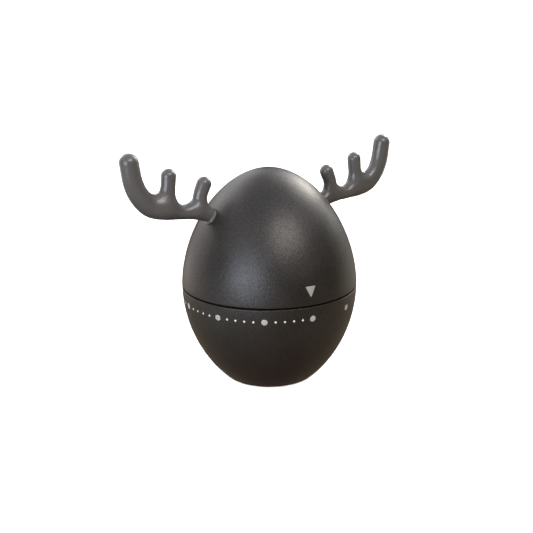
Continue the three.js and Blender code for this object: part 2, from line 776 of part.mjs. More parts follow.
function gongPost() {
  return turned([
    [ARBOR_R + SLIP, MOVEMENT_TOP_Z + TOUCH],
    [5, MOVEMENT_TOP_Z + TOUCH],
    [5, MOVEMENT_TOP_Z + 0.8],
    [POST_R, MOVEMENT_TOP_Z + 0.8],
    [POST_R, GONG_SEAT_Z - TOUCH],
    [POST_THREAD_R, GONG_SEAT_Z - TOUCH],
    [POST_THREAD_R, GONG_SEAT_Z + GONG_WALL + NUT_THICK + 0.6],
    [ARBOR_R + SLIP, GONG_SEAT_Z + GONG_WALL + NUT_THICK + 0.6],
  ]);
}

// A drawn bowl, mouth down, with a flat crown for the nut.
function gong() {
  const top = GONG_SEAT_Z + GONG_WALL;
  const crown = 6;
  const steps = 5;
  const bow = (radius, drop) =>
    Array.from({ length: steps + 1 }, (_, i) => {
      const angle = radians((90 * i) / steps);
      const out = crown + (radius - crown) * Math.sin(angle);
      return [out, drop + (GONG_RIM_Z - drop) * (1 - Math.cos(angle))];
    });
  return turned(
    [
      [POST_THREAD_R + SLIP, top],
      ...bow(GONG_R, top),
      ...bow(GONG_R - GONG_WALL, GONG_SEAT_Z).reverse(),
      [POST_THREAD_R + SLIP, GONG_SEAT_Z],
    ],
    36,
  );
}

function gongNut() {
  const z = GONG_SEAT_Z + GONG_WALL + TOUCH;
  const corner = NUT_FLATS / 2 / Math.cos(Math.PI / 6);
  return extruded(circle(corner, [0, 0], 6), z, z + NUT_THICK, [circle(POST_THREAD_R + SLIP)]);
}

const HAMMER_Z = MOVEMENT_TOP_Z + 0.4;
const HEAD_RING_R = GONG_R - GONG_WALL - HAMMER_GAP - HAMMER_HEAD_R;
const HAMMER_HEAD_AT = polar(
  HEAD_RING_R,
  HAMMER_ANGLE + THREE.MathUtils.radToDeg(Math.acos(ARBOR_RING_R / HEAD_RING_R)),
);

const hammerArbor = () =>
  rod(HAMMER_SHAFT_R, LOWER_PLATE_Z + 0.1, HAMMER_Z + 1.2, HAMMER_AT);

function taperedArm(from, to, trim, halfWidth, halfTip, z) {
  const reach = distance(from, to) - trim;
  const outline = [
    [0, -halfWidth],
    [reach, -halfTip],
    [reach, halfTip],
    [0, halfWidth],
  ];
  return placed(extruded(outline, z, z + WHEEL_THICK), from, angleTo(from, to));
}

// Between the plates: one prong rides on the cam, the other is flicked by the star.
function hammerTail() {
  const clear = 0.3;
  const collar = rod(1.6, STAR_Z, CAM_Z + WHEEL_THICK, HAMMER_AT);
  const toCam = taperedArm(HAMMER_AT, [0, 0], CAM_R + clear, 1, 0.6, CAM_Z);
  const toStar = taperedArm(HAMMER_AT, SECOND_AT, STAR.radius + clear, 1, 0.5, STAR_Z);
  const bore = rod(HAMMER_SHAFT_R + TOUCH, STAR_Z - 1, CAM_Z + 2, HAMMER_AT);
  return cut(joined(collar, toCam, toStar), bore);
}

function hammerArm() {
  const eye = rod(1.6, HAMMER_Z, HAMMER_Z + WHEEL_THICK, HAMMER_AT);
  const arm = taperedArm(HAMMER_AT, HAMMER_HEAD_AT, 0, 0.9, 0.7, HAMMER_Z);
  const end = rod(1.1, HAMMER_Z, HAMMER_Z + WHEEL_THICK, HAMMER_HEAD_AT);
  const z = HAMMER_Z - 1;
  return cut(
    joined(eye, arm, end),
    rod(HAMMER_SHAFT_R + TOUCH, z, z + 3, HAMMER_AT),
    rod(0.5 + SLIP, z, z + 3, HAMMER_HEAD_AT),
  );
}

// The head hangs on a small stud through the arm, beside the gong's rim.
function hammerHead() {
  const seat = HAMMER_Z + WHEEL_THICK + TOUCH;
  return joined(
    rod(HAMMER_HEAD_R, seat, seat + 1.6, HAMMER_HEAD_AT),
    rod(0.5, HAMMER_Z - 0.2, seat + 0.5, HAMMER_HEAD_AT),
  );
}

const springPost = () => rod(SPRING_POST_R, UPPER_PLATE_Z, HAMMER_Z + 1, SPRING_POST_AT);

// A wire with one turn round its post, whose long leg presses on the hammer's arm.
function hammerSpring() {
  const wire = 0.2;
  const loop = SPRING_POST_R + SLIP + wire;
  const leg = [
    (HAMMER_AT[0] + 2 * HAMMER_HEAD_AT[0]) / 3,
    (HAMMER_AT[1] + 2 * HAMMER_HEAD_AT[1]) / 3,
  ];
  const inward = polar(1.1 + wire, HAMMER_ANGLE + 180);
  const tip = [leg[0] + inward[0], leg[1] + inward[1]];
  const z = HAMMER_Z + 0.4;
  const start = angleTo(SPRING_POST_AT, tip) + 90;
  const points = [];
  for (let i = 0; i <= 10; i += 1) {
    const [dx, dy] = polar(loop, start + 200 - 20 * i);
    points.push(new THREE.Vector3(SPRING_POST_AT[0] + dx, SPRING_POST_AT[1] + dy, z));
  }
  points.push(new THREE.Vector3(tip[0], tip[1], z));
  const path = new THREE.CatmullRomCurve3(points, false, "centripetal");
  const section = new THREE.Shape(circle(wire, [0, 0], 6).map(([x, y]) => new THREE.Vector2(x, y)));
  return toSolid(new THREE.ExtrudeGeometry(section, { steps: 28, extrudePath: path, bevelEnabled: false }));
}

// ---------------------------------------------------------------- the upper half

// The root of each antler stands square on the egg's surface.
const [ROOT_OUT, ROOT_UP] = eggNormal(ROOT_HEIGHT);
const ROOT_TILT = THREE.MathUtils.radToDeg(Math.atan2(ROOT_OUT, ROOT_UP));
const ROOT_AT = [eggRadius(ROOT_HEIGHT), 0, SEAM_Z + ROOT_HEIGHT];
// Carries a solid made along Z, with z = 0 on the egg's surface, to the root on the +X side.
const atRoot = (solid) => solid.rotate([0, ROOT_TILT, 0]).translate(ROOT_AT);
const mirrored = (solid) => solid.mirror([1, 0, 0]);

function upperShell() {
  const outside = eggOutline(SEAM_GAP / 2 + EDGE_ROUND, TOP.height, 9);
  const inside = eggOutline(SEAM_GAP / 2, TOP.height, 7, -WALL);
  inside[0] = [EGG_R - WALL, RIM_HIGH_Z];
  const dome = turned(
    [[EGG_R - EDGE_ROUND, RIM_HIGH_Z], ...outside, ...inside.reverse()],
    EGG_SIDES,
  );
  const crown = SEAM_Z + TOP.height - WALL / 2;
  const hub = rod(HUB_R, HUB_BOTTOM_Z, crown);
  const middle = eggOutline(SEAM_GAP / 2, TOP.height, 7, -WALL / 2);
  const filled = turned([[0, RIM_HIGH_Z], ...middle], EGG_SIDES);
  const ribs = [45, 135].map((angle) =>
    block(2 * EGG_R, RIB_THICK, RIB_BOTTOM_Z, crown).rotate([0, 0, angle]).intersect(filled),
  );
  const bore = extruded(
    dOutline(ARBOR_R + SLIP, ARBOR_FLAT + SLIP),
    HUB_BOTTOM_Z - 1,
    ARBOR_TOP_Z + 0.5,
  );
  const hole = atRoot(rod(SPIGOT_R + SLIP, -WALL - 4, 2));
  return cut(joined(dome, hub, ...ribs), bore, hole, mirrored(hole));
}

// One limb: rings of an upright ellipse along a smooth curve, closed by rounded ends.
function limb(stations) {
  const centres = stations.map(([x, height]) => new THREE.Vector3(x, 0, SEAM_Z + height));
  const curve = new THREE.CatmullRomCurve3(centres, false, "centripetal");
  const last = stations.length - 1;
  const sizeAt = (t, column) => {
    const place = t * last;
    const i = Math.min(last - 1, Math.floor(place));
    const share = place - i;
    const ease = share * share * (3 - 2 * share);
    return stations[i][column] + (stations[i + 1][column] - stations[i][column]) * ease;
  };
  const rings = [];
  const ring = (centre, tangent, halfWidth, halfThick) => {
    const side = new THREE.Vector3(-tangent.z, 0, tangent.x);
    const corners = Array.from({ length: LIMB_SIDES }, (_, i) => {
      const [u, v] = polar(1, (360 * i) / LIMB_SIDES);
      const off = new THREE.Vector3(0, v * halfThick, 0).addScaledVector(side, u * halfWidth);
      return off.add(centre);
    });
    rings.push(corners);
  };
  const cap = (t, sign) => {
    const centre = curve.getPoint(t);
    const tangent = curve.getTangent(t);
    const [wide, thick] = [sizeAt(t, 2), sizeAt(t, 3)];
    const reach = Math.min(wide, thick);
    const angles = sign > 0 ? [30, 60] : [60, 30];
    for (const angle of angles) {
      const [shrink, ahead] = polar(1, angle);
      const at = centre.clone().addScaledVector(tangent, sign * ahead * reach);
      ring(at, tangent, wide * shrink, thick * shrink);
    }
    return centre.addScaledVector(tangent, sign * reach);
  };
  const startPoint = cap(0, -1);
  const steps = last * 2;
  for (let i = 0; i <= steps; i += 1) {
    const t = i / steps;
    ring(curve.getPoint(t), curve.getTangent(t), sizeAt(t, 2), sizeAt(t, 3));
  }
  const endPoint = cap(1, 1);
  const vertices = [startPoint, ...rings.flat(), endPoint];
  const faces = [];
  const corner = (r, i) => 1 + r * LIMB_SIDES + (i % LIMB_SIDES);
  for (let i = 0; i < LIMB_SIDES; i += 1) {
    faces.push(0, corner(0, i), corner(0, i + 1));
    for (let r = 0; r < rings.length - 1; r += 1) {
      faces.push(corner(r, i), corner(r + 1, i), corner(r + 1, i + 1));
      faces.push(corner(r, i), corner(r + 1, i + 1), corner(r, i + 1));
    }
    faces.push(corner(rings.length - 1, i), vertices.length - 1, corner(rings.length - 1, i + 1));
  }
  const geometry = new THREE.BufferGeometry().setFromPoints(vertices).setIndex(faces);
  return toSolid(geometry);
}

function antler() {
  const body = joined(limb(BEAM), limb(NEAR_TINE), limb(FAR_TINE));
  const collar = atRoot(
    turned(
      [
        [0, -1.5],
        [COLLAR_R, -1.5],
        [COLLAR_R, COLLAR_THICK * 0.4],
        [COLLAR_R - 0.4, COLLAR_THICK],
        [0, COLLAR_THICK],
      ],
      20,
    ),
  );
  const egg = turned([[0, SEAM_Z], ...eggOutline(0, TOP.height, 9, ROOT_GAP)], EGG_SIDES);
  const spigot = atRoot(rod(SPIGOT_R, -WALL - SPIGOT_PAST_WALL, 1.5));
  return joined(cut(joined(body, collar), egg), spigot);
}

// A toothed steel washer pushed over the spigot inside the shell.
function antlerClip() {
  const z = -WALL - CLIP_GAP - CLIP_THICK;
  const outline = circle(CLIP_R, [0, 0], 20);
  return atRoot(extruded(outline, z, z + CLIP_THICK, [circle(SPIGOT_R + SLIP)]));
}

// ---------------------------------------------------------------- the assembly

add("lower_shell", lowerShell(), "shell");
add("foot_pad", footPad(), "rubber");
SCREW_ANGLES.forEach((angle, i) => add(`mounting_screw_${i + 1}`, mountingScrew(angle), "steel"));
add("lower_plate", lowerPlate(), "steel");
add("upper_plate", upperPlate(), "steel");
PILLAR_ANGLES.forEach((angle, i) => add(`pillar_${i + 1}`, pillar(angle), "brass"));
add("spring_cup", springCup(), "steel");
add("mainspring", mainspring(), "spring_steel");
add("stop_pin", stopPin(), "steel");
add("gong_post", gongPost(), "brass");
add("gong", gong(), "gong_steel");
add("gong_nut", gongNut(), "brass");
add("spring_post", springPost(), "steel");
add("hammer_spring", hammerSpring(), "spring_steel");

add("main_arbor", mainArbor(), "steel");
add("arbor_clip", arborClip(), "spring_steel");
add("ratchet_wheel", ratchetWheel(), "steel");
add("alarm_cam", alarmCam(), "steel");
add("stop_finger", stopFinger(), "steel");

add("great_wheel", greatWheel(), "brass");
add("click_pawl", clickPawl(), "steel");
add("click_rivet", clickRivet(), "brass");
add("second_arbor", trainArbor(SECOND_AT, GREAT, SECOND_PHASE), "steel");
add("second_wheel", trainWheel(SECOND, SECOND_AT, SECOND_PHASE), "brass");
add("striker_star", strikerStar(), "steel");
add("third_arbor", trainArbor(THIRD_AT, SECOND, THIRD_PHASE), "steel");
add("third_wheel", trainWheel(THIRD, THIRD_AT, THIRD_PHASE), "brass");
add("escape_arbor", trainArbor(ESCAPE_AT, THIRD, ESCAPE_PHASE), "steel");
add("escape_wheel", escapeWheel(), "brass");
add("pallet_arbor", palletArbor(), "steel");
add("pallet_lever", palletLever(), "steel");
add("balance_bar", balanceBar(), "brass");

add("hammer_arbor", hammerArbor(), "steel");
add("hammer_tail", hammerTail(), "steel");
add("hammer_arm", hammerArm(), "steel");
add("hammer_head", hammerHead(), "brass");

add("upper_shell", upperShell(), "shell");
add("antler_right", antler(), "antler");
add("antler_left", mirrored(antler()), "antler");
add("antler_clip_right", antlerClip(), "spring_steel");
add("antler_clip_left", mirrored(antlerClip()), "spring_steel");

export default timer;
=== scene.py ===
"""Looks for an egg-shaped wind-up kitchen timer with two antlers.

Sizes are in millimetres up to the point where a mesh is made, and MM turns them to metres. The egg's
axis is Z, the antlers stand out along X, and the scale's zero mark is at the front, towards -Y.
"""

import json
import math

import bmesh
import bpy
import numpy as np
from mathutils import Matrix, Vector


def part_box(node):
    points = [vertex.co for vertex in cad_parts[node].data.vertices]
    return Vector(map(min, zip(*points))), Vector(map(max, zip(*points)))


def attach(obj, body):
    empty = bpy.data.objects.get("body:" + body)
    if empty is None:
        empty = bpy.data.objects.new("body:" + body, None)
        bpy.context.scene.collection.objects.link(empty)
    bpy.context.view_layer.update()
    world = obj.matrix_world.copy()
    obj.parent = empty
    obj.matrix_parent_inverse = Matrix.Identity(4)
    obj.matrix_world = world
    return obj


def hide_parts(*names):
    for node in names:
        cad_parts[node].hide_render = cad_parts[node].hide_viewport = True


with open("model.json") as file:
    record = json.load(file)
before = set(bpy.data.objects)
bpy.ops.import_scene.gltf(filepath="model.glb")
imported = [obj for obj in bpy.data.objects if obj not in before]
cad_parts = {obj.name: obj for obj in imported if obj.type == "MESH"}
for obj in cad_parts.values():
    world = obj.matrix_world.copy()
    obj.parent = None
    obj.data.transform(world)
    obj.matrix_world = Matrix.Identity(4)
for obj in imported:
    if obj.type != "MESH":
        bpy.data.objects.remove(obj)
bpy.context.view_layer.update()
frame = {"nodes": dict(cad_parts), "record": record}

MM = 0.001


def low(node):
    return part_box(node)[0] / MM


def high(node):
    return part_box(node)[1] / MM


# ---------------------------------------------------------------- sizes

# The egg's radius at a height h over the seam is R * (1 - (h / height) ** power) ** root.
EGG_R = 30.0
UPPER = {"height": 39.5, "power": 1.79, "root": 0.532}
LOWER = {"height": 40.1, "power": 2.0, "root": 0.589}
WALL = 2.0
SEAM_HIGH_Z = low("upper_shell").z
SEAM_Z = high("upper_shell").z - UPPER["height"]
SEAM_LOW_Z = 2 * SEAM_Z - SEAM_HIGH_Z
EDGE_ROUND = 0.18
TURNED_SIDES = 192

LIP_TOP_Z = high("lower_shell").z
LIP_OUTER_R = 27.6
LIP_INNER_R = 26.4

FOOT_R = high("foot_pad").x
FOOT_TOP_Z = high("foot_pad").z
FOOT_CLEAR = 0.1
FOOT_ROUND = 0.45
GLUE_LINE = 0.05
SHELL_BOTTOM_Z = low("lower_shell").z
FLOOR_TOP_Z = 3.8
BOSS_R = 2.3
BOSS_TOP_Z = low("lower_plate").z - 0.05
CORNER_ROUND = 0.2
SCREWS = ["mounting_screw_1", "mounting_screw_2", "mounting_screw_3"]
HUB_R = 4.2
HUB_BORE_R = 2.1
HUB_BOTTOM_Z = 36.0

# The print. Minutes run clockwise, seen from above. The scale sits a little off the mould's centre, and
# the pointer a little further.
PRINT_TURN_DEG = -4.3
SCALE_DROP = 4.2
MAJOR_DOT_R = 1.0
MAJOR_MINUTES = range(0, 60, 5)
MINOR_DOT_R = 0.36
MINOR_STEP_DEG = 5.57
LAST_MINOR_MINUTE = 50
MINOR_MINUTES = [m for m in range(LAST_MINOR_MINUTE) if m % 5]
DOT_ANGLES = [math.tau * i / 32 for i in range(32)]
POINTER_OFF_DEG = -1.3
POINTER_TIP_RISE = 2.8
POINTER_HEIGHT = 3.6
POINTER_WIDTH = 3.55
INK_THICK = 0.04
# Shares of the way from a patch's middle to its edge, and how far the film stands off the shell there.
INK_LEVELS = [
    (0.0, INK_THICK),
    (0.5, INK_THICK),
    (0.88, INK_THICK),
    (0.96, INK_THICK * 0.7),
    (1.0, -INK_THICK / 2),
]
POINTER_CORNER_SHARE = 0.07
POINTER_SIDE_STEPS = 8

# The antlers' limbs: x, height over the seam, half width in the antler's plane, half thickness.
BEAM = [
    (20.6, 25.2, 2.2, 2.2),
    (23.6, 26.7, 2.6, 2.5),
    (28.0, 27.7, 2.5, 2.5),
    (32.5, 28.0, 2.35, 2.45),
    (37.1, 29.1, 2.9, 2.5),
    (41.6, 30.6, 3.4, 2.55),
    (45.1, 33.8, 3.2, 2.65),
    (47.2, 38.3, 3.05, 2.75),
    (48.15, 44.5, 2.9, 2.8),
]
NEAR_TINE = [
    (26.3, 29.2, 2.3, 2.2),
    (25.5, 30.8, 2.35, 2.25),
    (25.1, 33.0, 2.3, 2.25),
    (23.8, 36.05, 2.4, 2.3),
]
FAR_TINE = [
    (36.9, 31.2, 2.4, 2.3),
    (36.5, 32.8, 2.35, 2.3),
    (36.1, 35.7, 2.3, 2.25),
    (35.7, 39.55, 2.35, 2.25),
]
NEAR_FILLET = 2.6
FAR_FILLET = 4.2
ROOT_HEIGHT = 25.3
COLLAR_R = 2.9
COLLAR_RISE = 0.5
COLLAR_FILLET = 0.35
COLLAR_EDGE = 0.45
SPIGOT_R = 1.5
SPIGOT_DEPTH = 3.6
SPIGOT_OVERLAP = 0.3
ANTLER_CLEAR = 0.02
SKIN_STEP = 0.35
# The box that one antler lies in, as x, y and height over the seam.
ANTLER_LOWEST = (15.5, -4.6, 17.0)
ANTLER_HIGHEST = (52.0, 4.6, 48.5)


# ---------------------------------------------------------------- meshes


def egg_radius(height):
    half = UPPER if height >= 0 else LOWER
    share = min(1.0, abs(height) / half["height"])
    return EGG_R * (1 - share ** half["power"]) ** half["root"]


def egg_normal(height):
    """The outline's outward normal, as (radial, up)."""
    step = 1e-4
    limit = UPPER["height"] if height >= 0 else LOWER["height"]
    above, below = min(height + step, limit), max(height - step, -limit)
    slope = (egg_radius(above) - egg_radius(below)) / (above - below)
    length = math.hypot(1, slope)
    return 1 / length, -slope / length


def egg_outline(start, end, steps, grow=0.0):
    """Points (radius, z) on the egg between two heights over the seam, moved out by grow."""
    limit = UPPER["height"] if max(start, end) > 0 else LOWER["height"]
    first, last = math.asin(start / limit), math.asin(end / limit)
    points = []
    for i in range(steps + 1):
        height = limit * math.sin(first + (last - first) * i / steps)
        if height > UPPER["height"] - 1e-6:
            points.append((0.0, SEAM_Z + UPPER["height"] + grow))
            continue
        radial, up = egg_normal(height)
        points.append((egg_radius(height) + grow * radial, SEAM_Z + height + grow * up))
    return points


def rounded(outline, radius, steps=4, sharper_than=30):
    """Rounds each corner of a closed outline that turns by more than sharper_than degrees."""
    points = [Vector(p) for p in outline]
    made = []
    for i, here in enumerate(points):
        before, after = points[i - 1], points[(i + 1) % len(points)]
        arriving, leaving = here - before, after - here
        turn = abs(arriving.angle_signed(leaving, 0))
        if here.x < 1e-6 or math.degrees(turn) < sharper_than:
            made.append(tuple(here))
            continue
        reach = min(radius, arriving.length * 0.45, leaving.length * 0.45)
        start, end = here - arriving.normalized() * reach, here + leaving.normalized() * reach
        for k in range(steps + 1):
            t = k / steps
            made.append(tuple(start * (1 - t) ** 2 + here * 2 * t * (1 - t) + end * t**2))
    return made


def lathe(bm, outline, sides=TURNED_SIDES, centre=(0.0, 0.0)):
    """Turns a closed outline of (radius, z), anticlockwise, about an upright axis into bm."""
    rings = []
    for radius, z in outline:
        if radius < 1e-6:
            rings.append([bm.verts.new((centre[0] * MM, centre[1] * MM, z * MM))])
            continue
        ring = []
        for i in range(sides):
            angle = math.tau * i / sides
            x, y = centre[0] + radius * math.cos(angle), centre[1] + radius * math.sin(angle)
            ring.append(bm.verts.new((x * MM, y * MM, z * MM)))
        rings.append(ring)
    for below, above in zip(rings, rings[1:] + rings[:1]):
        if len(below) == 1 and len(above) == 1:
            continue
        for i in range(sides):
            j = (i + 1) % sides
            corners = [below[i % len(below)], below[j % len(below)]]
            corners += [above[j % len(above)], above[i % len(above)]]
            bm.faces.new(list(dict.fromkeys(corners)))


def piece(name, bm, body, material, replaces=(), sharp_deg=38):
    """Turns bm into a piece that rides on a body."""
    bmesh.ops.recalc_face_normals(bm, faces=bm.faces)
    mesh = bpy.data.meshes.new(name)
    bm.to_mesh(mesh)
    bm.free()
    mesh.shade_smooth()
    mesh.set_sharp_from_angle(angle=math.radians(sharp_deg))
    mesh.materials.append(material)
    made = bpy.data.objects.new(name, mesh)
    bpy.context.scene.collection.objects.link(made)
    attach(made, body)
    if replaces:
        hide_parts(*replaces)
    return made


def upper_shell(material):
    bm = bmesh.new()
    outside = egg_outline(SEAM_HIGH_Z - SEAM_Z, UPPER["height"], 64)
    inside = egg_outline(SEAM_HIGH_Z - SEAM_Z, UPPER["height"], 32, -WALL)
    inside[0] = (EGG_R - WALL, SEAM_HIGH_Z)
    lathe(bm, rounded(outside + inside[::-1], EDGE_ROUND))
    crown = SEAM_Z + UPPER["height"] - WALL / 2
    hub = [(HUB_BORE_R, HUB_BOTTOM_Z), (HUB_R, HUB_BOTTOM_Z), (HUB_R, crown), (HUB_BORE_R, crown)]
    lathe(bm, rounded(hub, CORNER_ROUND), 48)
    return piece("upper_egg_shell", bm, "turning_half", material, ["upper_shell"])


def lower_shell(material):
    bm = bmesh.new()
    bottom = SHELL_BOTTOM_Z - SEAM_Z
    outside = egg_outline(SEAM_LOW_Z - SEAM_Z, bottom + 0.3, 64)
    inside = egg_outline(-4.0, bottom + 4.2, 32, -WALL)
    outline = [
        (0.0, FOOT_TOP_Z + GLUE_LINE),
        (FOOT_R + FOOT_CLEAR, FOOT_TOP_Z + GLUE_LINE),
        (FOOT_R + FOOT_CLEAR, SHELL_BOTTOM_Z),
        (outside[-1][0] - 0.7, SHELL_BOTTOM_Z),
        *outside[::-1],
        (LIP_OUTER_R, SEAM_LOW_Z),
        (LIP_OUTER_R, LIP_TOP_Z),
        (LIP_INNER_R, LIP_TOP_Z),
        (LIP_INNER_R, SEAM_Z - WALL),
        *inside,
        (inside[-1][0] - 1.0, FLOOR_TOP_Z),
        (0.0, FLOOR_TOP_Z),
    ]
    lathe(bm, rounded(outline, EDGE_ROUND))
    for screw in SCREWS:
        middle = (low(screw) + high(screw)) / 2
        boss = [(0.0, FLOOR_TOP_Z - 0.5), (BOSS_R, FLOOR_TOP_Z - 0.5), (BOSS_R, BOSS_TOP_Z)]
        boss += [(0.0, BOSS_TOP_Z)]
        lathe(bm, rounded(boss, CORNER_ROUND), 32, (middle.x, middle.y))
    return piece("lower_egg_shell", bm, "base_half", material, ["lower_shell"])


def foot(material):
    bm = bmesh.new()
    outline = [(0.0, 0.0), (FOOT_R, 0.0), (FOOT_R, FOOT_TOP_Z), (0.0, FOOT_TOP_Z)]
    lathe(bm, rounded(outline, FOOT_ROUND, 6), 128)
    return piece("rubber_foot", bm, "base_half", material, ["foot_pad"])


def on_egg(angle_deg, height, lift):
    """The point over the egg at an angle and a height over the seam, lift off its surface."""
    radial, up = egg_normal(height)
    radius = egg_radius(height) + lift * radial
    angle = math.radians(angle_deg)
    return Vector((radius * math.cos(angle), radius * math.sin(angle), SEAM_Z + height + lift * up))


def ink_patch(bm, angle_deg, height, border):
    """A film of ink on the egg. border holds its outline as (along, up) from its middle."""
    middle = Vector((sum(p[0] for p in border), sum(p[1] for p in border))) / len(border)
    rings = []
    for share, lift in INK_LEVELS:
        ring = []
        for along, up in border if share else [middle]:
            x, y = middle.x + (along - middle.x) * share, middle.y + (up - middle.y) * share
            rise = y * egg_normal(height)[0]
            turn = math.degrees(x / egg_radius(height + rise))
            ring.append(bm.verts.new(on_egg(angle_deg + turn, height + rise, lift) * MM))
        rings.append(ring)
    for inner, outer in zip(rings, rings[1:]):
        count = len(outer)
        for i in range(count):
            j = (i + 1) % count
            corners = [inner[i % len(inner)], outer[i], outer[j], inner[j % len(inner)]]
            bm.faces.new(list(dict.fromkeys(corners)))


def minute_angle(minute):
    """Where a minute stands round the egg, with the small dots a little bunched between two large."""
    into = minute % 5
    bunched = 15 + (into - 2.5) * MINOR_STEP_DEG if into else 0
    return -90 + PRINT_TURN_DEG - (6 * (minute - into) + bunched)


def dots(name, minutes, radius, material):
    """A dot of ink at each of the minutes."""
    bm = bmesh.new()
    border = [(radius * math.cos(a), radius * math.sin(a)) for a in DOT_ANGLES]
    for minute in minutes:
        ink_patch(bm, minute_angle(minute), -SCALE_DROP, border)
    return piece(name, bm, "base_half", material, sharp_deg=180)


def pointer(material):
    """A triangle with its tip down, its corners just broken."""
    half = POINTER_WIDTH / 2
    corners = [Vector((0, 0)), Vector((half, POINTER_HEIGHT)), Vector((-half, POINTER_HEIGHT))]
    border = []
    for i, here in enumerate(corners):
        before, after = corners[i - 1], corners[(i + 1) % 3]
        first, last = here.lerp(before, POINTER_CORNER_SHARE), here.lerp(after, POINTER_CORNER_SHARE)
        border += [first, (first + last + here) / 3, last]
        far_end = after.lerp(here, POINTER_CORNER_SHARE)
        border += [last.lerp(far_end, k / POINTER_SIDE_STEPS) for k in range(1, POINTER_SIDE_STEPS)]
    middle_height = POINTER_TIP_RISE + POINTER_HEIGHT / 2
    border = [(p.x, p.y - POINTER_HEIGHT / 2) for p in border]
    bm = bmesh.new()
    ink_patch(bm, -90 + PRINT_TURN_DEG + POINTER_OFF_DEG, middle_height, border)
    return piece("printed_pointer", bm, "turning_half", material, sharp_deg=180)


# ---------------------------------------------------------------- antlers, as one filleted skin


def smooth_curve(stations, per_span=6):
    """Points on a Catmull-Rom curve through the stations, with their sizes eased between."""
    rows = np.array(stations, float)
    padded = np.vstack([2 * rows[0] - rows[1], rows, 2 * rows[-1] - rows[-2]])
    made = []
    for i in range(1, len(padded) - 2):
        for k in range(per_span):
            t = k / per_span
            a, b, c, d = padded[i - 1 : i + 3]
            square, cube = 2 * a - 5 * b + 4 * c - d, 3 * b - a - 3 * c + d
            made.append(0.5 * (2 * b + (c - a) * t + square * t**2 + cube * t**3))
    made.append(rows[-1])
    return np.array(made)


def limb_distance(points, stations):
    """Distance from points to a limb: a chain of tapering, slightly flattened round-ended rods."""
    chain = smooth_curve(stations)
    best = np.full(len(points), 1e9)
    for a, b in zip(chain[:-1], chain[1:]):
        start, along = a[:2], b[:2] - a[:2]
        flat = points[:, [0, 2]] - start
        t = np.clip(flat @ along / (along @ along), 0, 1)
        wide = a[2] + (b[2] - a[2]) * t
        thick = a[3] + (b[3] - a[3]) * t
        off = flat - t[:, None] * along
        gap = np.sqrt((off**2).sum(1) + (points[:, 1] * wide / thick) ** 2) - wide
        best = np.minimum(best, gap)
    return best


def melt(a, b, fillet):
    """The union of two distances, with a fillet of about that size in the corner between them."""
    overlap = np.maximum(fillet - np.abs(a - b), 0) / fillet
    return np.minimum(a, b) - overlap**2 * fillet / 4


def root_frame():
    """Where the antler's spigot meets the egg, and the egg's normal there, in the antler's plane."""
    radial, up = egg_normal(ROOT_HEIGHT)
    return np.array([egg_radius(ROOT_HEIGHT), 0, ROOT_HEIGHT]), np.array([radial, 0, up])


HEIGHTS = np.linspace(0, UPPER["height"], 400)
RADII = np.array([egg_radius(h) for h in HEIGHTS])


def egg_distance(points):
    """Roughly the distance out of the egg, near its surface. Points have heights over the seam."""
    around = np.hypot(points[:, 0], points[:, 1])
    outline = np.interp(points[:, 2], HEIGHTS, RADII)
    slope = np.interp(points[:, 2], HEIGHTS, np.gradient(RADII, HEIGHTS))
    return (around - outline) / np.hypot(1, slope)


def antler_distance(points):
    body = limb_distance(points, BEAM)
    body = melt(body, limb_distance(points, NEAR_TINE), NEAR_FILLET)
    body = melt(body, limb_distance(points, FAR_TINE), FAR_FILLET)
    root, out = root_frame()
    rise = (points - root) @ out
    around = np.linalg.norm(points - root - rise[:, None] * out, axis=1)
    over_egg = egg_distance(points)
    beyond = np.stack([around - COLLAR_R + COLLAR_EDGE, over_egg - COLLAR_RISE + COLLAR_EDGE])
    collar = np.linalg.norm(np.maximum(beyond, 0), axis=0) + np.minimum(beyond.max(0), 0) - COLLAR_EDGE
    body = melt(body, collar, COLLAR_FILLET)
    body = np.maximum(body, ANTLER_CLEAR - over_egg)
    half_depth = SPIGOT_DEPTH / 2
    spigot = np.maximum(around - SPIGOT_R, np.abs(rise + half_depth) - half_depth - SPIGOT_OVERLAP)
    return np.minimum(body, spigot)


